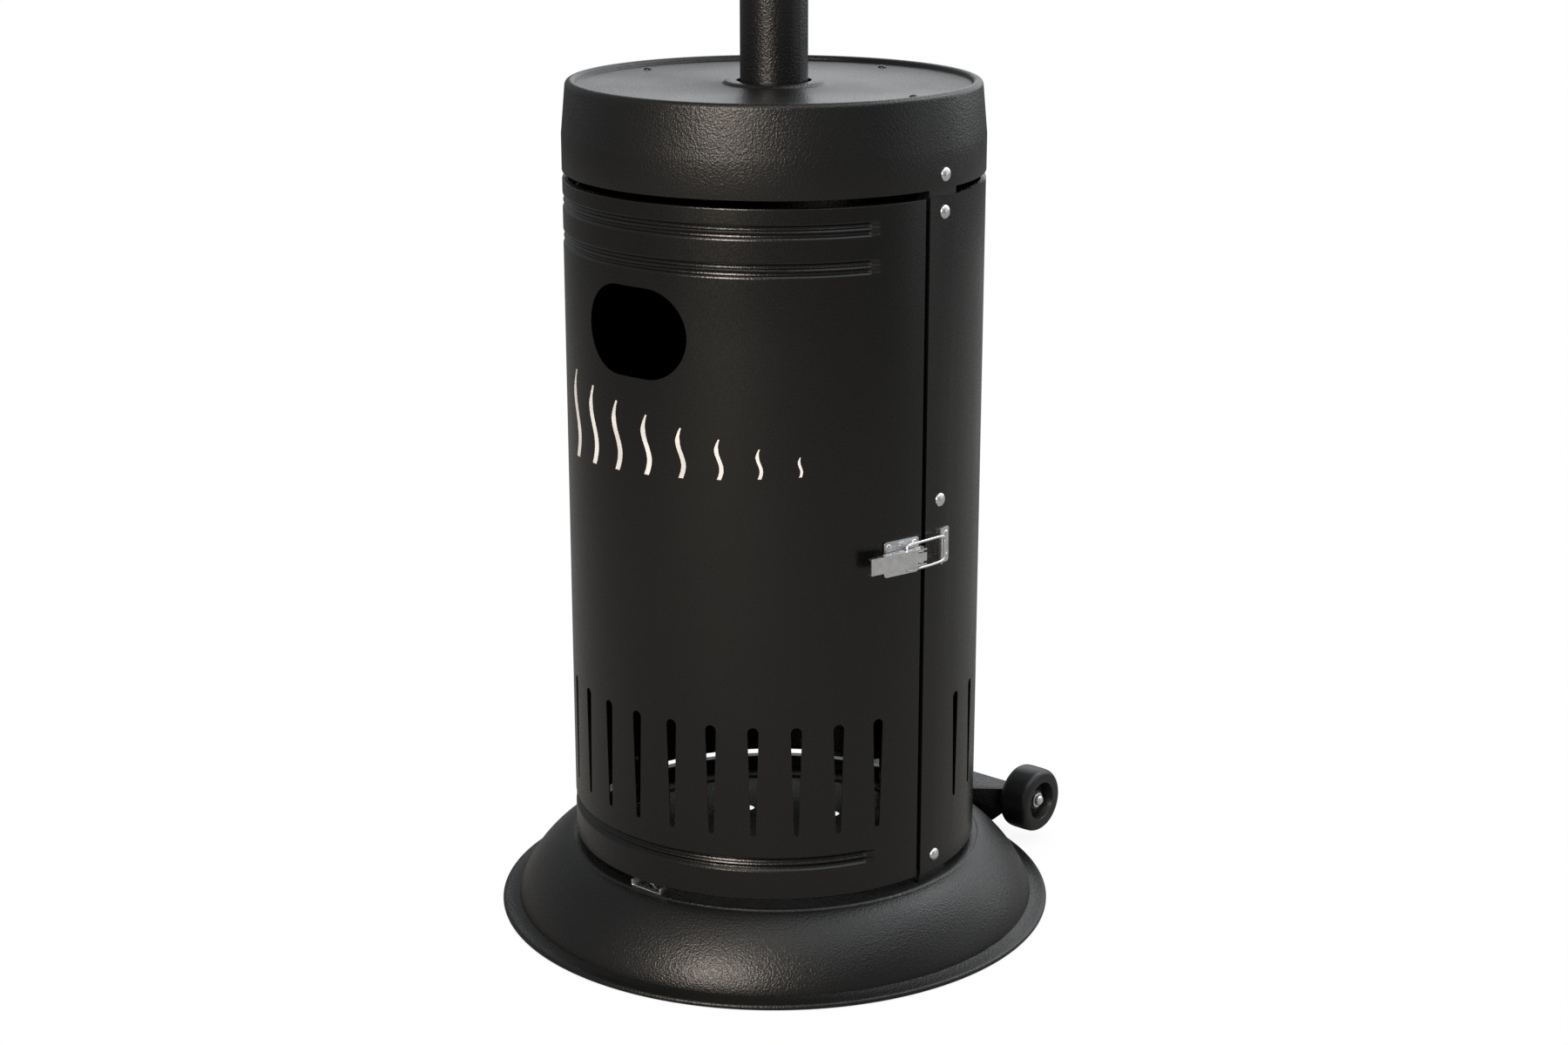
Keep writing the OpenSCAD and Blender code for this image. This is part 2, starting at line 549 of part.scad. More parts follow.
module emitter_screen() color(steel) ring(emitter_r - 1, emitter_r, screen_z, screen_top);
module emitter_lid() color(steel) difference() {
    rotate_extrude($fn = 180) polygon([[0, screen_top + 0.1], [emitter_r + 0.1, screen_top + 0.1],
        [emitter_r + 0.1, screen_top - 12], [emitter_r + 1.3, screen_top - 12],
        [emitter_r + 1.3, screen_top + 1.6], [emitter_r - 8, screen_top + 6],
        [0, screen_top + 6]]);
    translate([0, 0, screen_top - 1]) cylinder(r = emitter_r - 9, h = 5.5);
    for (a = [45:90:315]) at(a, emitter_r - 1, screen_top - 6) rotate([0, 90, 0])
        cylinder(r = 1.8, h = 4);
}
module emitter_screws() color(zinc) for (a = [45:90:315])
    at(a, emitter_r + 1.35, screen_top - 6) screw(3.5, 2, 1.7, 1.1);
module reflector_studs() color(zinc) for (a = [60:120:300]) at(a, stud_r, screen_top + 6.1) {
    cylinder(r = 4, h = reflector_z - screen_top + reflector_rise + 14);
    cylinder(r = 13 / sqrt(3), h = 6, $fn = 6);
    translate([0, 0, reflector_z - screen_top + reflector_rise - 6.1 - 9])
        cylinder(r = 8, h = 7);
}
module reflector() color([0.8, 0.81, 0.82]) difference() {
    rotate_extrude($fn = 180) polygon(concat(
        [[0, reflector_z + reflector_rise]], bowl(crown_r, reflector_r, 20, 0),
        [[reflector_r, reflector_z - 7], [reflector_r - 5, reflector_z - 7],
         [reflector_r - 5, reflector_z - 5.5], [reflector_r - 1.6, reflector_z - 5.5]],
        backwards(bowl(crown_r, reflector_r - 1.6, 20, -1.4)),
        [[0, reflector_z + reflector_rise - 1.4]]));
    for (a = [60:120:300]) at(a, stud_r, reflector_z + reflector_rise - 5)
        cylinder(r = 4.3, h = 10);
}
module stud_washers() color(zinc) for (a = [60:120:300])
    at(a, stud_r, reflector_z + reflector_rise + 0.05) difference() {
        cylinder(r = 10, h = 1.5);
        translate([0, 0, -1]) cylinder(r = 4.1, h = 4);
    }
module wing_nuts() color(zinc) for (a = [60:120:300])
    at(a, stud_r, reflector_z + reflector_rise + 1.6) difference() {
        union() {
            cylinder(r1 = 7, r2 = 6, h = 9);
            translate([-15, -1.5, 4]) cube([30, 3, 9]);
            for (x = [-15, 15]) translate([x, 1.5, 10]) rotate([90, 0, 0])
                cylinder(r = 5, h = 3);
        }
        translate([0, 0, -1]) cylinder(r = 4.05, h = 20);
    }

module piezo_igniter() color([0.2, 0.2, 0.22]) at(button_a, housing_r - 50, knob_z)
    rotate([0, 90, 0]) difference() {
        translate([0, 0, 4]) cylinder(r = 8.5, h = 46.4);
        translate([0, 0, 34]) cylinder(r = 4.05, h = 30);
    }
module tilt_switch() color([0.2, 0.2, 0.22]) {
    translate([-14, 34.5, housing_z + 0.1]) cube([28, 24, 30]);
    translate([0, 46.5, housing_z + 30]) cylinder(r = 5, h = 6);
}

module valve_rotor() color(brass) at(0, 52, knob_z) rotate([0, 90, 0]) difference() {
    cylinder(r = 8, h = 27);
    translate([0, 0, 4]) cylinder(r = 3 + run_gap, h = 30);
}
module knob_stem() color(brass) at(0, 62, knob_z) rotate([0, 90, 0])
    cylinder(r = 3, h = -knob_y - 62 + 10);
module control_knob() color([0.08, 0.08, 0.08]) at(0, -knob_y, knob_z) rotate([0, 90, 0])
    difference() {
        union() {
            cylinder(r = 23, h = 4);
            translate([0, 0, 3.9]) cylinder(r1 = 20, r2 = 18, h = 8);
            translate([-18, -4, 6]) cube([36, 8, 14]);
        }
        translate([0, 0, -1]) cylinder(r = 3.02, h = 11.2);
    }
module igniter_button() color([0.6, 0.08, 0.06]) at(button_a, housing_r + 5.6, knob_z)
    rotate([0, 90, 0]) {
        rotate_extrude() polygon(concat([[0, 0]], [[7.5, 0]], arc(1.5, 0, 90, 4, [6, 3]),
            [[0, 4.5]]));
        translate([0, 0, -16]) cylinder(r = 4, h = 16.5);
    }

base_skirt();
bottle_tray();
post_latch_side();
post_hinge_side();
post_rear();
post_bolts();
rear_shell();
shell_screws();
top_cap();
cap_screws();
pole_socket();
socket_nuts();
pole();
door_rest();
strike_plate();
strike_rivets();
hinge_post_leaves();
hinge_pins();
hinge_post_rivets();
wheel_bracket();
bracket_bolts();
axle();
axle_washers();
axle_caps();
head_flange();
head_flange_bolts();
control_housing();
housing_lid();
gas_valve();
gas_inlet();
gas_jet();
mixer_tube();
burner_cup();
pilot_tube();
thermocouple();
spark_electrode();
emitter_screen();
emitter_lid();
emitter_screws();
reflector_studs();
reflector();
stud_washers();
wing_nuts();
piezo_igniter();
tilt_switch();
control_panel();
door_panel();
hinge_door_leaves();
hinge_door_rivets();
latch_base();
latch_pin();
latch_rivets();
latch_lever();
latch_bail();
wheel_left();
wheel_right();
valve_rotor();
knob_stem();
control_knob();
igniter_button();
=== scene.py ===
import json
import math
import bpy
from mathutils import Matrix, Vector


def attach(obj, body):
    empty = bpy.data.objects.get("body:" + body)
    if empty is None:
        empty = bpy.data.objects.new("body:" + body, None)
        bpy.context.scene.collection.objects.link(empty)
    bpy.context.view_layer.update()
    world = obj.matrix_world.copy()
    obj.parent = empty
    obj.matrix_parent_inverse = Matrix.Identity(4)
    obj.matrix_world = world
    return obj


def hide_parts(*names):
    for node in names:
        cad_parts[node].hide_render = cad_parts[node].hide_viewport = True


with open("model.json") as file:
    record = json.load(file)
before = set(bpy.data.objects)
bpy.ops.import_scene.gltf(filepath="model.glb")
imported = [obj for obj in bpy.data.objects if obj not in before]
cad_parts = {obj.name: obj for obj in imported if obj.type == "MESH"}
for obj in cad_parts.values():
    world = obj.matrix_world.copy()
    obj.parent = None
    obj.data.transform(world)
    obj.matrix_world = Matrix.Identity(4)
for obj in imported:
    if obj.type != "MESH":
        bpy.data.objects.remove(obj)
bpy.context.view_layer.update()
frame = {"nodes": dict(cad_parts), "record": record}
nodes = frame["nodes"]
scene = bpy.context.scene

# --- camera ---
# Stands to the front right at chest height and looks down on the bottle cylinder,
# so the burner head is out of view above.
LOOK_DOWN, LOOK_LEFT = 16.288, 40.286
camera_data = bpy.data.cameras.new("camera")
camera_data.sensor_width = 36
camera_data.lens = 61.13
camera = bpy.data.objects.new("camera", camera_data)
scene.collection.objects.link(camera)
camera.location = (1.6298, -1.9083, 1.1232)
camera.rotation_euler = (math.radians(90 - LOOK_DOWN), 0, math.radians(LOOK_LEFT))
scene.camera = camera
scene.view_settings.view_transform = "Standard"

# --- floor and room ---
# A plain pale floor that runs out into a white room. Both look white, the floor with a painted
# contact shadow that darkens its glow near the heater; what they send back on to the heater is a
# soft grey, so that the black paint stays black.
FLOOR_RADIUS = 14
LIGHTS_AIM = 0.6
bpy.ops.object.select_all(action="DESELECT")
bpy.ops.mesh.primitive_circle_add(vertices=96, radius=FLOOR_RADIUS, fill_type="NGON")
floor = bpy.context.object
floor.name = "floor"


def split_by_ray(tree, seen, lit, output, kind):
    """Shows one shader to the camera and the other to everything else."""
    out = tree.nodes.new(output)
    mix = tree.nodes.new("ShaderNodeMixShader")
    path = tree.nodes.new("ShaderNodeLightPath")
    tree.links.new(path.outputs["Is Camera Ray"], mix.inputs["Fac"])
    tree.links.new(lit.outputs[0], mix.inputs[1])
    tree.links.new(seen.outputs[0], mix.inputs[2])
    tree.links.new(mix.outputs[0], out.inputs[kind])


floor_paint = bpy.data.materials.new("floor_paint")
floor_paint.use_nodes = True
tree = floor_paint.node_tree
tree.nodes.clear()
seen = tree.nodes.new("ShaderNodeEmission")
lit = tree.nodes.new("ShaderNodeBsdfDiffuse")
lit.inputs["Color"].default_value = (0.32, 0.315, 0.305, 1)
# painted contact shadow: ambient occlusion dims the floor's white glow close to the heater
painted_contact_shadow = tree.nodes.new("ShaderNodeAmbientOcclusion")
painted_contact_shadow.inputs["Distance"].default_value = 0.08
painted_contact_shadow.samples = 8
shade = tree.nodes.new("ShaderNodeMapRange")
shade.inputs["From Max"].default_value = 0.7
shade.inputs["To Min"].default_value = 0.86
tree.links.new(painted_contact_shadow.outputs["AO"], shade.inputs["Value"])
tree.links.new(shade.outputs["Result"], seen.inputs["Strength"])
split_by_ray(tree, seen, lit, "ShaderNodeOutputMaterial", "Surface")
floor.data.materials.append(floor_paint)

room = bpy.data.worlds.new("room")
scene.world = room
room.use_nodes = True
tree = room.node_tree
tree.nodes.clear()
seen = tree.nodes.new("ShaderNodeBackground")
seen.inputs["Color"].default_value = (1, 1, 1, 1)
lit = tree.nodes.new("ShaderNodeBackground")
lit.inputs["Color"].default_value = (0.92, 0.96, 1, 1)
lit.inputs["Strength"].default_value = 0.26
split_by_ray(tree, seen, lit, "ShaderNodeOutputWorld", "Surface")


DAYLIGHT = (0.97, 0.99, 1)


def soft_box(name, bearing, height, distance, size, watts, colour):
    """A square studio light at a bearing from the front towards the latch side."""
    data = bpy.data.lights.new(name, "AREA")
    data.shape = "RECTANGLE"
    data.size, data.size_y = size
    data.energy = watts
    data.color = colour
    light = bpy.data.objects.new(name, data)
    scene.collection.objects.link(light)
    turn = math.radians(bearing - 90)
    light.location = (distance * math.cos(turn), distance * math.sin(turn), height)
    aim = Vector((0, 0, LIGHTS_AIM)) - light.location
    light.rotation_euler = aim.to_track_quat("-Z", "Y").to_euler()
    light.visible_camera = False


# bearing, height, distance, size, watts and colour of each
soft_box("key", 14, 3.3, 1.7, (1.3, 1.0), 9, (1, 0.92, 0.85))
soft_box("front", 14, 1.9, 3.2, (0.8, 1.5), 100, (1, 0.88, 0.77))
soft_box("top", 100, 3.6, 1.5, (3.2, 3.0), 40, (0.93, 0.97, 1))
soft_box("side", 125, 1.1, 2.9, (1.2, 1.8), 4, DAYLIGHT)
soft_box("edge", 158, 1.8, 3.5, (1.6, 3.0), 9, DAYLIGHT)
soft_box("rear_top", 160, 3.5, 2.8, (2.0, 1.8), 30, DAYLIGHT)
soft_box("back", 190, 2.3, 3.6, (5.8, 3.2), 62, DAYLIGHT)

# --- paints and metals ---
# Hammered powder coat on the pressed steel, bright zinc on the small parts, and
# the head's stainless steel, aluminium and brass. Each effect is one node group.
MM = 0.001


def effect(name, inputs, outputs):
    """An empty shader group, with its named inputs and outputs."""
    group = bpy.data.node_groups.new(name, "ShaderNodeTree")
    kinds = {float: "NodeSocketFloat", tuple: "NodeSocketColor"}
    for label, value in inputs:
        socket = group.interface.new_socket(label, in_out="INPUT", socket_type=kinds[type(value)])
        socket.default_value = value
    for label in outputs:
        kind = {"Color": "NodeSocketColor", "Normal": "NodeSocketVector"}
        group.interface.new_socket(
            label, in_out="OUTPUT", socket_type=kind.get(label, "NodeSocketFloat")
        )
    return group, group.nodes.new("NodeGroupInput"), group.nodes.new("NodeGroupOutput")


def noise(group, scale, detail, stretch=(1, 1, 1)):
    """A noise on the piece's own coordinates."""
    place = group.nodes.new("ShaderNodeTexCoord")
    mapping = group.nodes.new("ShaderNodeMapping")
    mapping.inputs["Scale"].default_value = stretch
    texture = group.nodes.new("ShaderNodeTexNoise")
    texture.inputs["Scale"].default_value = scale
    texture.inputs["Detail"].default_value = detail
    group.links.new(place.outputs["Object"], mapping.inputs["Vector"])
    group.links.new(mapping.outputs["Vector"], texture.inputs["Vector"])
    return texture


def between(group, source, low, high, start=0.3, end=0.7):
    """Spreads a value over a new range."""
    spread = group.nodes.new("ShaderNodeMapRange")
    spread.inputs["From Min"].default_value = start
    spread.inputs["From Max"].default_value = end
    spread.inputs["To Min"].default_value = low
    spread.inputs["To Max"].default_value = high
    group.links.new(source, spread.inputs["Value"])
    return spread.outputs["Result"]


def maths(group, operation, a, b):
    node = group.nodes.new("ShaderNodeMath")
    node.operation = operation
    for socket, value in zip(node.inputs, (a, b)):
        if isinstance(value, (int, float)):
            socket.default_value = value
        else:
            group.links.new(value, socket)
    return node.outputs[0]


def raised(group, height, strength, distance):
    """Turns a height into a normal."""
    bump = group.nodes.new("ShaderNodeBump")
    bump.inputs["Distance"].default_value = distance
    group.links.new(height, bump.inputs["Height"])
    group.links.new(strength, bump.inputs["Strength"])
    return bump.outputs["Normal"]


def tinted(group, base, value):
    """Multiplies a colour by a grey value."""
    mix = group.nodes.new("ShaderNodeMix")
    mix.data_type = "RGBA"
    mix.blend_type = "MULTIPLY"
    mix.inputs["Factor"].default_value = 1
    group.links.new(base, mix.inputs[6])
    group.links.new(value, mix.inputs[7])
    return mix.outputs[2]


# hammered: rounded dimples about 2 mm apart, with a slow drift of gloss over a panel
hammered, given, result = effect(
    "hammered", [("Base", (0.01, 0.01, 0.01, 1.0)), ("Depth", 0.3), ("Gloss", 0.4)],
    ["Color", "Roughness", "Normal"],
)
pebble = noise(hammered, 520, 1.5)
drift = noise(hammered, 9, 3)
link = hammered.links.new
dimples = raised(hammered, pebble.outputs["Fac"], given.outputs["Depth"], 0.9 * MM)
gloss = maths(hammered, "ADD", given.outputs["Gloss"],
              between(hammered, drift.outputs["Fac"], -0.04, 0.04))
gloss = maths(hammered, "ADD", gloss, between(hammered, pebble.outputs["Fac"], 0.05, -0.05))
link(dimples, result.inputs["Normal"])
link(gloss, result.inputs["Roughness"])
link(tinted(hammered, given.outputs["Base"], between(hammered, pebble.outputs["Fac"], 0.8, 1.2)),
     result.inputs["Color"])

# plated: soft cloudy crystals and fine scratches in a thin bright plating
plated, given, result = effect(
    "plated", [("Base", (0.6, 0.6, 0.6, 1.0)), ("Gloss", 0.28), ("Depth", 0.08)],
    ["Color", "Roughness", "Normal"],
)
cloud = noise(plated, 160, 2)
scratch = noise(plated, 260, 3, (1, 1, 9))
link = plated.links.new
link(tinted(plated, given.outputs["Base"], between(plated, cloud.outputs["Fac"], 0.88, 1.04)),
     result.inputs["Color"])
link(maths(plated, "ADD", given.outputs["Gloss"],
           between(plated, scratch.outputs["Fac"], -0.06, 0.1)), result.inputs["Roughness"])
link(raised(plated, scratch.outputs["Fac"], given.outputs["Depth"], 0.15 * MM),
     result.inputs["Normal"])

# spun: fine rings left by the tool on a spun sheet, round the upright axis
spun, given, result = effect(
    "spun", [("Base", (0.8, 0.8, 0.8, 1.0)), ("Gloss", 0.22), ("Depth", 0.2)],
    ["Color", "Roughness", "Normal"],
)
place = spun.nodes.new("ShaderNodeTexCoord")
rings = spun.nodes.new("ShaderNodeTexWave")
rings.wave_type = "RINGS"
rings.rings_direction = "Z"
rings.inputs["Scale"].default_value = 160
rings.inputs["Distortion"].default_value = 1.5
rings.inputs["Detail"].default_value = 2
smear = noise(spun, 14, 4)
link = spun.links.new
link(place.outputs["Object"], rings.inputs["Vector"])
link(raised(spun, rings.outputs["Fac"], given.outputs["Depth"], 0.08 * MM), result.inputs["Normal"])
link(maths(spun, "ADD", given.outputs["Gloss"], between(spun, smear.outputs["Fac"], -0.05, 0.1)),
     result.inputs["Roughness"])
link(tinted(spun, given.outputs["Base"], between(spun, smear.outputs["Fac"], 0.86, 1.05)),
     result.inputs["Color"])

# heated: straw and blue temper colours that run up steel which has been hot
heated, given, result = effect(
    "heated", [("Start", 1.8), ("End", 2.1), ("Gloss", 0.3)], ["Color", "Roughness"],
)
place = heated.nodes.new("ShaderNodeTexCoord")
split = heated.nodes.new("ShaderNodeSeparateXYZ")
blotch = noise(heated, 22, 4)
height = heated.nodes.new("ShaderNodeMapRange")
temper = heated.nodes.new("ShaderNodeValToRGB")
bands = ((0, (0.5, 0.5, 0.51)), (0.4, (0.5, 0.46, 0.4)), (0.7, (0.42, 0.33, 0.24)),
         (0.86, (0.25, 0.24, 0.32)), (1, (0.3, 0.31, 0.35)))
while len(temper.color_ramp.elements) < len(bands):
    temper.color_ramp.elements.new(0.5)
for element, (position, colour) in zip(temper.color_ramp.elements, bands):
    element.position = position
    element.color = (*colour, 1)
link = heated.links.new
link(place.outputs["Object"], split.inputs[0])
link(maths(heated, "ADD", split.outputs["Z"],
           between(heated, blotch.outputs["Fac"], -0.05, 0.05)), height.inputs["Value"])
link(given.outputs["Start"], height.inputs["From Min"])
link(given.outputs["End"], height.inputs["From Max"])
link(height.outputs["Result"], temper.inputs["Fac"])
link(temper.outputs["Color"], result.inputs["Color"])
link(maths(heated, "ADD", given.outputs["Gloss"],
           between(heated, blotch.outputs["Fac"], -0.04, 0.12)), result.inputs["Roughness"])

# moulded: the faint grain and flow marks of a plastic part straight from its mould
moulded, given, result = effect(
    "moulded", [("Base", (0.01, 0.01, 0.01, 1.0)), ("Gloss", 0.35), ("Depth", 0.1)],
    ["Color", "Roughness", "Normal"],
)
grain = noise(moulded, 1400, 1)
flow = noise(moulded, 30, 3)
link = moulded.links.new
link(raised(moulded, grain.outputs["Fac"], given.outputs["Depth"], 0.2 * MM),
     result.inputs["Normal"])
link(maths(moulded, "ADD", given.outputs["Gloss"],
           between(moulded, flow.outputs["Fac"], -0.05, 0.08)), result.inputs["Roughness"])
link(tinted(moulded, given.outputs["Base"], between(moulded, flow.outputs["Fac"], 0.85, 1.15)),
     result.inputs["Color"])


def finish(name, group, metallic, values):
    """A material whose looks come from one effect, with its own values."""
    paint = bpy.data.materials.new(name)
    paint.use_nodes = True
    shader = paint.node_tree.nodes["Principled BSDF"]
    shader.inputs["Metallic"].default_value = metallic
    use = paint.node_tree.nodes.new("ShaderNodeGroup")
    use.node_tree = group
    for label, value in values.items():
        use.inputs[label].default_value = (*value, 1) if isinstance(value, tuple) else value
    wires = {"Color": "Base Color", "Roughness": "Roughness", "Normal": "Normal"}
    for output in use.outputs:
        paint.node_tree.links.new(output, shader.inputs[wires[output.name]])
    return paint


SOOT_BLACK = (0.0034, 0.0033, 0.003)
paints = {
    "black_coat": finish("black_coat", hammered, 0,
                         {"Base": SOOT_BLACK, "Depth": 0.6, "Gloss": 0.35}),
    "zinc_plate": finish("zinc_plate", plated, 1, {"Base": (0.9, 0.91, 0.92), "Gloss": 0.27}),
    "plain_steel": finish("plain_steel", plated, 1, {"Base": (0.45, 0.45, 0.46), "Gloss": 0.38}),
    "stainless": finish("stainless", spun, 1, {"Base": (0.56, 0.56, 0.57), "Gloss": 0.28}),
    "emitter_mesh": finish("emitter_mesh", heated, 1, {"Start": 1.85, "End": 2.12, "Gloss": 0.32}),
    "brass": finish("brass", plated, 1, {"Base": (0.66, 0.47, 0.2), "Gloss": 0.3}),
    "copper": finish("copper", plated, 1, {"Base": (0.72, 0.36, 0.22), "Gloss": 0.32}),
    "ceramic": finish("ceramic", moulded, 0, {"Base": (0.75, 0.72, 0.66), "Gloss": 0.25}),
    "reflector_aluminium": finish("reflector_aluminium", spun, 1,
                                  {"Base": (0.84, 0.85, 0.86), "Gloss": 0.2}),
    "wheel_plastic": finish("wheel_plastic", moulded, 0,
                            {"Base": (0.014, 0.014, 0.014), "Gloss": 0.33}),
    "black_plastic": finish("black_plastic", moulded, 0,
                            {"Base": (0.015, 0.015, 0.015), "Gloss": 0.45}),
    "knob_plastic": finish("knob_plastic", moulded, 0,
                           {"Base": (0.012, 0.012, 0.012), "Gloss": 0.32}),
    "red_plastic": finish("red_plastic", moulded, 0, {"Base": (0.35, 0.015, 0.01), "Gloss": 0.3}),
}
slots_of = {part["node"]: part["material_slot"] for part in frame["record"]["subparts"]}
for node, slot in slots_of.items():
    nodes[node].data.materials.clear()
    nodes[node].data.materials.append(paints[slot])

# --- base ---
# One deep pressing of 2 mm steel: a rolled flange on the floor, a full dome, a short
# neck and the well that the bottle stands in. Spun from its side view.
FLANGE_R, NECK_R, WELL_R, WELL_Z = 273.8, 206, 196, 53
DOME_REACH, DOME_FOOT, SHOULDER = 53.6, 7, 67.5
DOME_POWER = 2 / 1.4
DOME_STEPS = 30
BASE_SHEET = 2


def start_point(x, z):
    """One point of a new mesh, in edit mode, ready to be drawn out. Millimetres."""
    bpy.ops.object.select_all(action="DESELECT")
    bpy.ops.mesh.primitive_plane_add(size=0.01)
    bpy.ops.object.mode_set(mode="EDIT")
    bpy.ops.mesh.select_mode(type="VERT")
    bpy.ops.mesh.merge(type="CENTER")
    bpy.ops.transform.translate(value=(x * MM, 0, z * MM))


def draw(points):
    """Draws a chain from point to point, in millimetres along x and z."""
    start_point(*points[0])
    for (x0, z0), (x1, z1) in zip(points, points[1:]):
        step = ((x1 - x0) * MM, 0, (z1 - z0) * MM)
        bpy.ops.mesh.extrude_region_move(TRANSFORM_OT_translate={"value": step})
    bpy.ops.mesh.select_all(action="SELECT")


def tidy_mesh(angle=32):
    """Merges seams, turns the faces outwards and smooths what isn't an edge."""
    bpy.ops.mesh.select_all(action="SELECT")
    bpy.ops.mesh.remove_doubles(threshold=1e-6)
    bpy.ops.mesh.normals_make_consistent(inside=False)
    bpy.ops.object.mode_set(mode="OBJECT")
    bpy.ops.object.shade_smooth_by_angle(angle=math.radians(angle))


def turned(name, outline, steps, angle=32):
    """Spins a closed side view of radius and height round the upright axis."""
    draw(outline + outline[:1])
    bpy.ops.mesh.remove_doubles(threshold=1e-7)
    bpy.ops.mesh.select_all(action="SELECT")
    bpy.ops.mesh.spin(steps=steps, angle=2 * math.pi, center=(0, 0, 0), axis=(0, 0, 1))
    tidy_mesh(angle)
    piece = bpy.context.object
    piece.name = name
    return piece


def give(piece, body, slot, *stands_for):
    """Paints a new piece, ties it to its body and hides the CAD parts it stands for."""
    piece.data.materials.clear()
    piece.data.materials.append(paints[slot])
    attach(piece, body)
    if stands_for:
        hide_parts(*stands_for)


def arc(radius, start, end, count, centre):
    """Points of an arc in the side view."""
    turns = [math.radians(start + (end - start) * i / count) for i in range(count + 1)]
    return [(centre[0] + radius * math.cos(t), centre[1] + radius * math.sin(t)) for t in turns]


def dome(inset):
    """The dome's side view from the flange up, a distance inside its outer face."""
    points = []
    for step in range(DOME_STEPS + 1):
        turn = math.radians(2 + 86 * step / DOME_STEPS)
        lean = math.radians(math.degrees(turn) * 0.6 + 15)
        out = DOME_REACH * math.cos(turn) ** DOME_POWER
        up = (SHOULDER - DOME_FOOT) * math.sin(turn) ** DOME_POWER
        points.append((NECK_R + out - inset * math.cos(lean),
                       DOME_FOOT + up - inset * math.sin(lean)))
    return points


flange = ([(FLANGE_R, 0)] + arc(2.7, -80, 90, 10, (273.5, 2.7))
          + [(270, 5.5), (266, 5.9), (262.5, 6.6)])
neck = [(205.2, 67.9), (204.2, 69.1), (202.6, 69.5), (195.2, 69.5), (194, 68.3)]
well = [(WELL_R - BASE_SHEET, WELL_Z + BASE_SHEET), (180, WELL_Z + BASE_SHEET), (180, WELL_Z),
        (WELL_R, WELL_Z), (WELL_R, SHOULDER), (202, SHOULDER)]
flange_under = [(261, 4.2), (271.7, 3.4), (271.7, 0.4)]
base_side = flange + dome(0) + neck + well + dome(BASE_SHEET)[::-1] + flange_under
base = turned("base_pressing", base_side, 200)
give(base, "stand", "black_coat", "base_skirt")

# --- cap ---
# The round cover over the bottle: a flat plate sunk inside a rolled rim, and a collar
# that leans in slightly towards its top, pressed from one sheet.
PLATE = 819
RIM_CENTRE = (190.8, PLATE)
collar = [(198.9, 740.5), (200, 740.5), (200.2, 741), (200.2, 774.2), (200.1, 775.4)]
plate_top = [(184.9, 819.5), (184, PLATE), (49.3, PLATE)]
boss = [(47.9, 819.8), (46.6, 821.3), (45.2, 822), (35.5, 822), (35.5, 820.5), (45, 820.5),
        (46.6, 819), (48, 817.6)]
plate_under = [(49, 817.5), (186.6, 817.5), (187.6, 821)]
rolled_rim, rim_under = arc(5.2, 4, 168, 14, RIM_CENTRE), arc(3.6, 150, 4, 8, RIM_CENTRE)
cap_side = collar + rolled_rim + plate_top + boss + plate_under + rim_under + [(198.7, 774.6)]
cap = turned("cap_pressing", cap_side, 200, 40)
give(cap, "stand", "black_coat", "top_cap")

# --- rear shell and cap screws ---
# The posts, the shell and the tray show their CAD shapes. The screws in the cap's plate
# are painted over with it, those below keep their plating.
PAINTED_ABOVE = 0.8
cap_screw_finish = paints["zinc_plate"].copy()
cap_screw_finish.name = "cap_screw_finish"
tree = cap_screw_finish.node_tree
shader = tree.nodes["Principled BSDF"]
place = tree.nodes.new("ShaderNodeTexCoord")
split = tree.nodes.new("ShaderNodeSeparateXYZ")
tree.links.new(place.outputs["Object"], split.inputs[0])
bright = maths(tree, "LESS_THAN", split.outputs["Z"], PAINTED_ABOVE)
plating = shader.inputs["Base Color"].links[0].from_socket
shown = tinted(tree, plating, maths(tree, "MAXIMUM", bright, 0.02))
tree.links.new(shown, shader.inputs["Base Color"])
tree.links.new(bright, shader.inputs["Metallic"])
nodes["cap_screws"].data.materials[0] = cap_screw_finish

# the flat-rolled shell and door take a smoother coat than the deep pressings
panel_coat = finish("panel_coat", hammered, 0, {"Base": SOOT_BLACK, "Depth": 0.2, "Gloss": 0.26})
nodes["rear_shell"].data.materials[0] = panel_coat

# --- door ---
# One curved sheet with its edges folded in, pointed double beads pressed across it, a
# row of air slots and a hand hole. Spun flat first, then pressed and punched.
DOOR_R = 200
DOOR_HALF = 83.3
DOOR_BOTTOM, DOOR_TOP = 77, 733.5
DOOR_MIDDLE = 0.4
BEADS = (112.5, 678, 712)
BEAD_END = 68.4
GROOVES = ((-7, 0), (-6, -0.35), (-5, -1.3), (-3.9, -2.6), (-2.8, -3), (-1.7, -2.5),
           (-0.6, -1.1), (0.4, -0.5), (1.4, -1.1), (2.5, -2.5), (3.6, -3), (4.7, -2.6),
           (5.8, -1.3), (6.8, -0.35), (7.8, 0))
FOLD = ((-5, 0), (-1.2, 0), (-0.35, 0.35), (0, 1.2))
EDGE_FOLD = 0.957
DOOR_SHEET = 1.2
SLOT_COUNT, SLOT_PITCH, SLOT_TOP, SLOT_FOOT = 13, 11.57, 244.55, 144
SLOT_R, SLOT_TAPER = 5.25, 0.476
HOLE_R, HOLE_STRETCH, HOLE_TILT, HOLE_TURN, HOLE_Z = 42, 17, 3.75, 0.3, 614


def bearing(point):
    """A point's angle round the cylinder, from the front towards the latch."""
    return math.degrees(math.atan2(point[1], point[0])) + 90


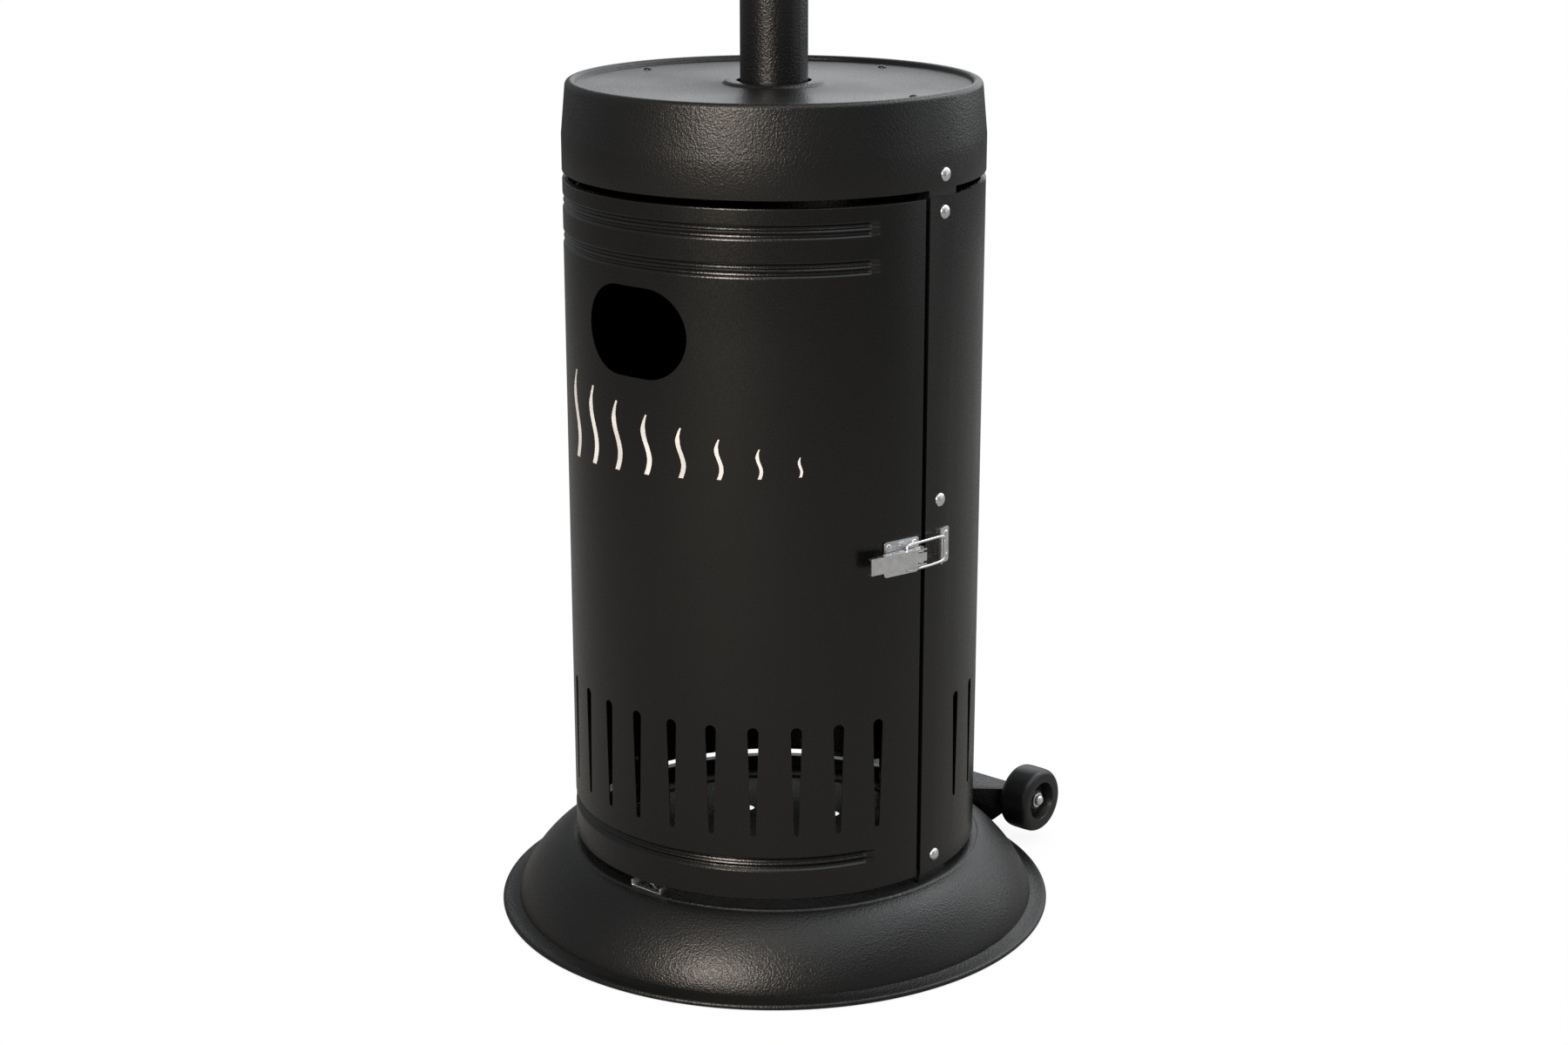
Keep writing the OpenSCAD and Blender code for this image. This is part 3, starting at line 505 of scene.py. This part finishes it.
def pick(piece, test, kind="verts"):
    """Selects the points, edges or faces that pass a test of their place."""
    bpy.ops.object.mode_set(mode="OBJECT")
    mesh = piece.data
    places = {"verts": [v.co for v in mesh.vertices],
              "edges": [(mesh.vertices[e.vertices[0]].co + mesh.vertices[e.vertices[1]].co) / 2
                        for e in mesh.edges],
              "faces": [f.center for f in mesh.polygons]}[kind]
    for group in (mesh.vertices, mesh.edges, mesh.polygons):
        group.foreach_set("select", [False] * len(group))
    items = {"verts": mesh.vertices, "edges": mesh.edges, "faces": mesh.polygons}[kind]
    for item, place in zip(items, places):
        item.select = test(place)
    bpy.ops.object.mode_set(mode="EDIT")
    bpy.ops.mesh.select_mode(type={"verts": "VERT", "edges": "EDGE", "faces": "FACE"}[kind])


def apply_modifier(piece, kind, **values):
    """Adds a modifier with its values and makes it part of the mesh."""
    modifier = piece.modifiers.new(kind.lower(), kind)
    for name, value in values.items():
        setattr(modifier, name, value)
    bpy.context.view_layer.objects.active = piece
    bpy.ops.object.modifier_apply(modifier=modifier.name)


def placed(piece, place=(0, 0, 0), turn=(0, 0, 0)):
    """Puts a piece made round the origin in its place, with its place in its mesh."""
    bpy.ops.object.select_all(action="DESELECT")
    piece.select_set(True)
    bpy.context.view_layer.objects.active = piece
    piece.rotation_euler = [math.radians(t) for t in turn]
    piece.location = [p * MM for p in place]
    bpy.ops.object.transform_apply(location=True, rotation=True, scale=True)
    return piece


def joined(name, pieces):
    """Makes several pieces one."""
    bpy.ops.object.select_all(action="DESELECT")
    for piece in pieces:
        piece.select_set(True)
    bpy.context.view_layer.objects.active = pieces[0]
    bpy.ops.object.join()
    pieces[0].name = name
    return pieces[0]


def punch(piece, cutters):
    """Cuts the cutters' shapes out of a piece."""
    tool = joined("punch", cutters)
    bpy.context.view_layer.update()
    apply_modifier(piece, "BOOLEAN", object=tool, operation="DIFFERENCE", solver="EXACT")
    bpy.data.objects.remove(tool)


def round_bar(radius, length, place, vertices=24, turn=(0, 90, 0)):
    """A round bar, on its side unless turned."""
    bpy.ops.object.select_all(action="DESELECT")
    bpy.ops.mesh.primitive_cylinder_add(vertices=vertices, radius=radius * MM, depth=length * MM)
    return placed(bpy.context.object, place, turn)


def slot_cutter(turn):
    """An upright punch for one air slot, 10.5 mm wide at its top and 5 mm at its foot."""
    tool = round_bar(SLOT_R, 24, (DOOR_R, 0, SLOT_TOP))
    bpy.ops.object.mode_set(mode="EDIT")
    pick(tool, lambda p: p.z < (SLOT_TOP - 0.1) * MM)
    bpy.ops.transform.translate(value=(0, 0, (SLOT_FOOT - SLOT_TOP) * MM))
    bpy.ops.transform.resize(value=(1, SLOT_TAPER, SLOT_TAPER),
                             center_override=(DOOR_R * MM, 0, SLOT_FOOT * MM))
    bpy.ops.object.mode_set(mode="OBJECT")
    return placed(tool, turn=(0, 0, turn - 90))


door_side = [(DOOR_R + x, DOOR_BOTTOM + z) for x, z in FOLD]
for bead in BEADS:
    door_side += [(DOOR_R, bead + z) for z, depth in GROOVES]
door_side += [(DOOR_R + x, DOOR_TOP - z) for x, z in FOLD[::-1]]
draw(door_side)
bpy.ops.mesh.spin(steps=196, angle=math.radians(2 * DOOR_HALF), center=(0, 0, 0),
                  axis=(0, 0, 1))
bpy.ops.mesh.normals_make_consistent(inside=False)
bpy.ops.object.mode_set(mode="OBJECT")
door = placed(bpy.context.object, turn=(0, 0, DOOR_HALF - 90))
door.name = "door_skin"
front_face = min(door.data.polygons,
                 key=lambda f: abs(bearing(f.center)) + abs(f.center.z - DOOR_MIDDLE))
bpy.ops.object.mode_set(mode="EDIT")
if front_face.normal.y > 0:
    bpy.ops.mesh.select_all(action="SELECT")
    bpy.ops.mesh.flip_normals()
for bead in BEADS:
    for offset, depth in GROOVES[1:-1]:
        height = (bead + offset) * MM
        for limit, share in ((BEAD_END - 2.5, 0.6), (BEAD_END, 0.4)):
            pick(door, lambda p: abs(p.z - height) < 1e-5 and abs(bearing(p)) < limit)
            k = 1 + depth * share / DOOR_R
            bpy.ops.transform.resize(value=(k, k, 1), center_override=(0, 0, height))
fold_foot, fold_top = (DOOR_BOTTOM + 4) * MM, (DOOR_TOP - 4) * MM
pick(door, lambda p: bearing(p) > DOOR_HALF - 0.01 and fold_foot < p.z < fold_top)
bpy.ops.mesh.extrude_region_move()
bpy.ops.transform.resize(value=(EDGE_FOLD, EDGE_FOLD, 1), center_override=(0, 0, DOOR_MIDDLE))
bpy.ops.object.mode_set(mode="OBJECT")
apply_modifier(door, "SOLIDIFY", thickness=DOOR_SHEET * MM, offset=-1, use_even_offset=True)
slots = [slot_cutter((i - SLOT_COUNT // 2) * SLOT_PITCH) for i in range(SLOT_COUNT)]
hole = round_bar(HOLE_R, 50, (0, 0, 0), 48)
placed(hole, turn=(HOLE_TILT, 0, 0))
bpy.ops.object.mode_set(mode="EDIT")
for way in (1, -1):
    pick(hole, lambda p: p.y * way > 0)
    bpy.ops.transform.translate(value=(0, way * HOLE_STRETCH * MM, 0))
bpy.ops.object.mode_set(mode="OBJECT")
placed(hole, (DOOR_R, 0, HOLE_Z))
placed(hole, turn=(0, 0, HOLE_TURN - 90))
punch(door, slots + [hole])
bpy.ops.object.mode_set(mode="EDIT")
tidy_mesh(28)
give(door, "door", "black_coat", "door_panel")
door.data.materials[0] = panel_coat

# a strip spot-welded inside the shell's edge steps in behind the door, and shuts the gap there
LAP_START, LAP_WIDTH, LAP_STEP_AT, LAP_STEP = -82.3, 6.2, -86, 0.994
lap_r = DOOR_R - DOOR_SHEET + 0.1
draw([(lap_r, DOOR_BOTTOM + 2), (lap_r, DOOR_TOP - 2.5)])
bpy.ops.mesh.spin(steps=8, angle=math.radians(LAP_WIDTH), center=(0, 0, 0), axis=(0, 0, 1))
bpy.ops.object.mode_set(mode="OBJECT")
lap = placed(bpy.context.object, turn=(0, 0, LAP_START - 90))
lap.name = "shell_lap"
pick(lap, lambda p: bearing(p) > LAP_STEP_AT)
bpy.ops.transform.resize(value=(LAP_STEP, LAP_STEP, 1), center_override=(0, 0, 0))
bpy.ops.mesh.select_all(action="SELECT")
bpy.ops.mesh.normals_make_consistent(inside=False)
bpy.ops.object.mode_set(mode="OBJECT")
apply_modifier(lap, "SOLIDIFY", thickness=1 * MM, offset=0)
bpy.ops.object.mode_set(mode="EDIT")
tidy_mesh()
give(lap, "stand", "black_coat")
lap.data.materials[0] = panel_coat

# --- heat mark ---
# A plain sign printed in white on the door: a row of rising heat waves that die away
# towards the latch. It lies on the sheet like a transfer.
STROKES, FIRST_STROKE, STROKE_PITCH = 8, -27, 10.6
STROKE_RISE, STROKE_SWAY, STROKE_WIDTH, STROKE_FOOT, FOOT_LIFT = 84, 5.5, 6.5, 478, 15.6
STROKE_STEPS, TAPER_FROM, TAPER = 24, 18, 0.84
paints["mark_white"] = finish("mark_white", moulded, 0,
                              {"Base": (0.86, 0.86, 0.85), "Gloss": 0.4, "Depth": 0.03})
strokes = []
for place in range(STROKES):
    share = 1 - place / (STROKES + 1)
    width = STROKE_WIDTH * share + 1
    rise, sway = STROKE_RISE * share * MM, STROKE_SWAY * share * MM
    foot = STROKE_FOOT + FOOT_LIFT * (1 - share)
    start_point(-width / 2, foot)
    bpy.ops.mesh.extrude_region_move(TRANSFORM_OT_translate={"value": (width * MM, 0, 0)})
    bpy.ops.mesh.select_all(action="SELECT")
    reach = 0
    for step in range(1, STROKE_STEPS + 1):
        shift = sway * math.sin(2 * math.pi * step / STROKE_STEPS) - reach
        reach += shift
        bpy.ops.mesh.extrude_region_move(
            TRANSFORM_OT_translate={"value": (shift, 0, rise / STROKE_STEPS)})
        if step > TAPER_FROM:
            tip = foot * MM + rise * step / STROKE_STEPS
            bpy.ops.transform.resize(value=(TAPER, 1, 1), center_override=(reach, 0, tip))
    bpy.ops.object.mode_set(mode="OBJECT")
    stroke = placed(bpy.context.object, (0, -DOOR_R - 1, 0))
    strokes.append(placed(stroke, turn=(0, 0, FIRST_STROKE + STROKE_PITCH * place)))
mark = joined("heat_mark", strokes)
apply_modifier(mark, "SHRINKWRAP", target=door, offset=0.12 * MM, wrap_mode="ABOVE_SURFACE")
bpy.ops.object.mode_set(mode="EDIT")
bpy.ops.mesh.select_all(action="SELECT")
bpy.ops.mesh.normals_make_consistent(inside=False)
bpy.ops.object.mode_set(mode="OBJECT")
apply_modifier(mark, "SOLIDIFY", thickness=0.1 * MM, offset=1)
bpy.ops.object.mode_set(mode="EDIT")
tidy_mesh()
give(mark, "door", "mark_white")

# --- pressed and cast small parts ---
# The bracket, latch base, strike, valve, knob and the like have the CAD's shapes with
# their sharp edges rounded over, as a press or a mould leaves them. The latch base and
# the strike have rounder corners too.


def softened(node, width, corners=None, radius=0):
    """A copy of a CAD part with rounded edges, and some of its corners cut rounder."""
    piece = bpy.data.objects.new(node + "_soft", nodes[node].data.copy())
    scene.collection.objects.link(piece)
    bpy.ops.object.select_all(action="DESELECT")
    piece.select_set(True)
    bpy.context.view_layer.objects.active = piece
    bpy.ops.mesh.customdata_custom_splitnormals_clear()
    bpy.ops.object.mode_set(mode="EDIT")
    bpy.ops.mesh.select_all(action="SELECT")
    bpy.ops.mesh.remove_doubles(threshold=2e-6)
    bpy.ops.mesh.dissolve_limited(angle_limit=math.radians(0.8))
    if corners:
        pick(piece, corners, "edges")
        bpy.ops.mesh.bevel(offset=radius * MM, segments=5)
    bpy.ops.object.mode_set(mode="OBJECT")
    apply_modifier(piece, "BEVEL", width=width * MM, segments=2, limit_method="ANGLE",
                   angle_limit=math.radians(35), use_clamp_overlap=True)
    bpy.ops.object.shade_smooth_by_angle(angle=math.radians(35))
    return piece


LATCH_BEARING, LATCH_Z = 76, 404.5
LATCH_TURN = math.radians(LATCH_BEARING - 90)
PLATE_LONG, PLATE_TALL, PLATE_MIDDLE = 20, 17, 0.8
STRIKE_FROM = 94.55


def on_latch(u, v, w):
    """A place on the latch in metres: out from the door, along it and up, in millimetres."""
    x, y = (DOOR_R + u) * MM, v * MM
    return (x * math.cos(LATCH_TURN) - y * math.sin(LATCH_TURN),
            x * math.sin(LATCH_TURN) + y * math.cos(LATCH_TURN), (LATCH_Z + w) * MM)


def base_corner(p):
    """Is this the middle of one of the latch base's four upright corner edges?"""
    corners = [Vector(on_latch(PLATE_MIDDLE, v, w)) for v in (-PLATE_LONG, PLATE_LONG)
               for w in (-PLATE_TALL, PLATE_TALL)]
    return any((p - corner).length < 0.3 * MM for corner in corners)


def strike_corner(p):
    """Is this the middle of one of the strike's two far corner edges?"""
    at_end = abs(abs(p.z / MM - LATCH_Z) - PLATE_TALL) < 0.1
    in_plate = abs(p.xy.length / MM - DOOR_R - PLATE_MIDDLE) < 0.3
    return at_end and in_plate and bearing(p) > STRIKE_FROM


bodies = frame["record"]["behaviour"]["bodies"]
bodies_of = {node: body for body, group in bodies.items() for node in group}
SOFTENED = (("wheel_bracket", 0.8), ("door_rest", 0.5), ("strike_plate", 0.3, strike_corner, 1.5),
            ("latch_base", 0.25, base_corner, 3), ("control_knob", 0.7), ("gas_valve", 1.2),
            ("gas_inlet", 0.4), ("tilt_switch", 0.6), ("pole_socket", 0.5), ("wing_nuts", 0.5))
for node, width, *corners in SOFTENED:  # node, rounding, and its corners with their radius
    give(softened(node, width, *corners), bodies_of[node], slots_of[node], node)

# --- latch wire ---
# The draw latch's bail, bent from 2.5 mm zinc plated spring wire: its ends turn in
# through the lever's cheeks, and its far bar hooks over the strike.
WIRE_R = 1.25
wire_side = [(8, 1.5, 6.2), (8, 1.5, 9), (8, 1.5, 11.6), (7.6, 4, 12.6), (6.6, 14, 12.5),
             (5.2, 28, 12.6), (3.6, 38, 12.5), (2.2, 46, 12.2), (1.1, 51.4, 10.8),
             (0.95, 51.6, 7), (0.95, 51.6, 3)]
wire_path = wire_side + [(u, v, -w) for u, v, w in wire_side[::-1]]
wire = bpy.data.curves.new("latch_wire", "CURVE")
wire.dimensions = "3D"
wire.bevel_depth = WIRE_R * MM
wire.bevel_resolution = 3
wire.use_fill_caps = True
run = wire.splines.new("NURBS")
run.points.add(len(wire_path) - 1)
for point, place in zip(run.points, wire_path):
    point.co = (*on_latch(*place), 1)
run.order_u = 3
run.use_endpoint_u = True
run.resolution_u = 8
bail = bpy.data.objects.new("latch_wire", wire)
scene.collection.objects.link(bail)
bpy.ops.object.select_all(action="DESELECT")
bail.select_set(True)
bpy.context.view_layer.objects.active = bail
bpy.ops.object.convert(target="MESH")
bail = bpy.context.object
bpy.ops.object.mode_set(mode="EDIT")
tidy_mesh(40)
give(bail, "bail", "zinc_plate", "latch_bail")

# --- wheels ---
# Solid moulded wheels on a steel axle: a smooth broad tread with round shoulders, a
# recessed web with six lightening holes, and a hub that runs through.
WHEEL_X, AXLE_Y, AXLE_Z = 120.5, 277, 45.5
WEB_HOLES, WEB_HOLE_R, WEB_HOLE_AT = 6, 2.4, 15.2
web_turns = [math.radians(360 / WEB_HOLES * i + 30) for i in range(WEB_HOLES)]
tyre = ([(4.06, -20.4), (10.2, -20.4), (11, -19.6), (11.6, -4), (12.4, -3)]
        + [(18.2, -3), (19, -4), (19.6, -14.6), (20.4, -16)] + arc(8.6, -62, -8, 9, (25.2, -9.2))
        + [(34, -6), (34, 6)] + arc(8.6, 8, 62, 9, (25.2, 9.2))
        + [(20.4, 16), (19.6, 14.6), (19, 4), (18.2, 3), (12.4, 3), (11.6, 4), (11, 8.4),
           (10.2, 9.2), (4.06, 9.2)])
for side, body in ((-1, "left_wheel"), (1, "right_wheel")):
    wheel = turned(body + "_tyre", tyre, 96, 40)
    holes = [(WEB_HOLE_AT * math.cos(t), WEB_HOLE_AT * math.sin(t), 0) for t in web_turns]
    punch(wheel, [round_bar(WEB_HOLE_R, 12, place, 16, (0, 0, 0)) for place in holes])
    placed(wheel, turn=(0, side * 90, 0))
    placed(wheel, (side * WHEEL_X, AXLE_Y, AXLE_Z))
    bpy.ops.object.mode_set(mode="EDIT")
    tidy_mesh(40)
    give(wheel, body, "wheel_plastic", "wheel_left" if side < 0 else "wheel_right")

# --- control knob's marks ---
# The moulded knob carries a plain scale on its flange, ticks that grow from low to
# high, and a line on its grip. A short bar printed on the panel is what they turn past.
KNOB_Z, FLANGE_FACE, GRIP_FACE, PANEL_R = 1738, -107, -123.1, 99.3
TICKS, FIRST_TICK, TICK_PITCH, TICK_AT = 9, -60, 22.5, 21.2
INDEX_TURN = -16.4


def printed_bar(name, size, place, turn=(0, 0, 0)):
    """A thin raised bar of ink, of a size in millimetres."""
    bpy.ops.object.select_all(action="DESELECT")
    bpy.ops.mesh.primitive_cube_add(size=1)
    bar = bpy.context.object
    bar.name = name
    bar.scale = [length * MM for length in size]
    placed(bar)
    return placed(bar, place, turn)


ticks = []
for step in range(TICKS):
    degrees = FIRST_TICK + TICK_PITCH * step
    turn = math.radians(degrees)
    place = (TICK_AT * math.sin(turn), FLANGE_FACE, KNOB_Z + TICK_AT * math.cos(turn))
    ticks.append(printed_bar("tick", (0.5 + 0.1 * step, 0.3, 1.8), place, (0, degrees, 0)))
scale = joined("knob_scale", ticks)
apply_modifier(scale, "BEVEL", width=0.08 * MM, segments=1)
give(scale, "knob", "mark_white")
index = printed_bar("panel_index", (5, 0.3, 1.6), (0, -PANEL_R, KNOB_Z))
placed(index, turn=(0, 0, INDEX_TURN))
apply_modifier(index, "BEVEL", width=0.08 * MM, segments=1)
give(index, "stand", "black_plastic")
pointer = printed_bar("knob_pointer", (14, 0.6, 1.6), (-9, GRIP_FACE, KNOB_Z))
apply_modifier(pointer, "BEVEL", width=0.15 * MM, segments=2)
give(pointer, "knob", "mark_white")

# --- emitter screen ---
# A tube of thin stainless steel, punched all over with staggered round holes, which
# glows when the burner runs. One cell is punched, then repeated round and up.
SCREEN_Z, SCREEN_H, SCREEN_R = 1798, 280, 90
AROUND, UP = 64, 32
FRAME_EDGE, HOLE_HALF, CORNERS_FROM, CORNERS_TO, CORNER_PULL = 1.5, 2.2, 1.5, 3.4, 0.73
sheet_r = SCREEN_R - 0.5
cell_h = SCREEN_H / UP
cell_w = 2 * sheet_r * math.tan(math.pi / AROUND)
bpy.ops.object.select_all(action="DESELECT")
bpy.ops.mesh.primitive_grid_add(x_subdivisions=2, y_subdivisions=2, size=1)
cell = bpy.context.object
cell.scale = (cell_w * MM, cell_h * MM, 1)
placed(cell)
placed(cell, (0, -sheet_r, SCREEN_Z + cell_h / 2), (90, 0, 0))
bpy.ops.object.mode_set(mode="EDIT")
bpy.ops.mesh.select_all(action="SELECT")
bpy.ops.mesh.inset(thickness=FRAME_EDGE * MM, use_boundary=True)
cell_middle = (SCREEN_Z + cell_h / 2) * MM
half = HOLE_HALF * MM
pick(cell, lambda p: abs(p.x) < half and abs(p.z - cell_middle) < half, "faces")
bpy.ops.mesh.delete(type="FACE")
near, far = CORNERS_FROM * MM, CORNERS_TO * MM
pick(cell, lambda p: near < abs(p.x) < far and near < abs(p.z - cell_middle) < far)
bpy.ops.transform.resize(value=(CORNER_PULL, 1, CORNER_PULL),
                         center_override=(0, -SCREEN_R * MM, cell_middle))
bpy.ops.mesh.select_all(action="SELECT")
bpy.ops.mesh.spin(steps=AROUND, angle=2 * math.pi, dupli=True, center=(0, 0, 0), axis=(0, 0, 1))
bpy.ops.mesh.select_all(action="SELECT")
bpy.ops.mesh.duplicate_move(TRANSFORM_OT_translate={"value": (0, 0, cell_h * MM)})
bpy.ops.transform.rotate(value=math.pi / AROUND, orient_axis="Z", center_override=(0, 0, 0))
bpy.ops.mesh.select_all(action="SELECT")
bpy.ops.mesh.remove_doubles(threshold=2e-5)
bpy.ops.mesh.normals_make_consistent(inside=False)
bpy.ops.object.mode_set(mode="OBJECT")
apply_modifier(cell, "ARRAY", count=UP // 2, use_relative_offset=False, use_constant_offset=True,
               constant_offset_displace=(0, 0, 2 * cell_h * MM), use_merge_vertices=True,
               merge_threshold=2e-5)
apply_modifier(cell, "SOLIDIFY", thickness=0.8 * MM, offset=0)
bpy.ops.object.shade_smooth_by_angle(angle=math.radians(30))
cell.name = "emitter_tube"
give(cell, "stand", "emitter_mesh", "emitter_screen")

# --- reflector ---
# A shallow dish spun from 1.4 mm aluminium, with two pressed rings round its flat crown
# and its rim rolled under. Three wing nuts hold it on studs.
DISH_Z, DISH_RISE, DISH_R, CROWN_R = 2098, 118, 406.5, 95
DISH_CURVE, DISH_LIP, DISH_STEPS = 1.8, 3.2, 44
DISH_SHEET, RIM_R = 1.4, 3.4
RINGS = ((118, 5, 1.6), (330, 6, 1.2))  # radius, width and depth of each
crown_z = DISH_Z + DISH_RISE


def dish(inset):
    """The dish's side view from its crown to its rim, a distance under its outer face."""
    points = []
    for step in range(DISH_STEPS + 1):
        r = CROWN_R + (DISH_R - DISH_LIP - CROWN_R) * step / DISH_STEPS
        fall = DISH_RISE * ((r - CROWN_R) / (DISH_R - CROWN_R)) ** DISH_CURVE
        ring = sum(deep * math.exp(-(((r - at) / wide) ** 2)) for at, wide, deep in RINGS)
        points.append((r, crown_z - fall - ring - inset))
    return points


rim = arc(RIM_R, 60, -200, 14, (DISH_R - RIM_R, DISH_Z - RIM_R))
dish_side = [(0, crown_z)] + dish(0) + rim + dish(DISH_SHEET)[::-1] + [(0, crown_z - DISH_SHEET)]
reflector = turned("reflector_dish", dish_side, 200, 40)
give(reflector, "stand", "reflector_aluminium", "reflector")
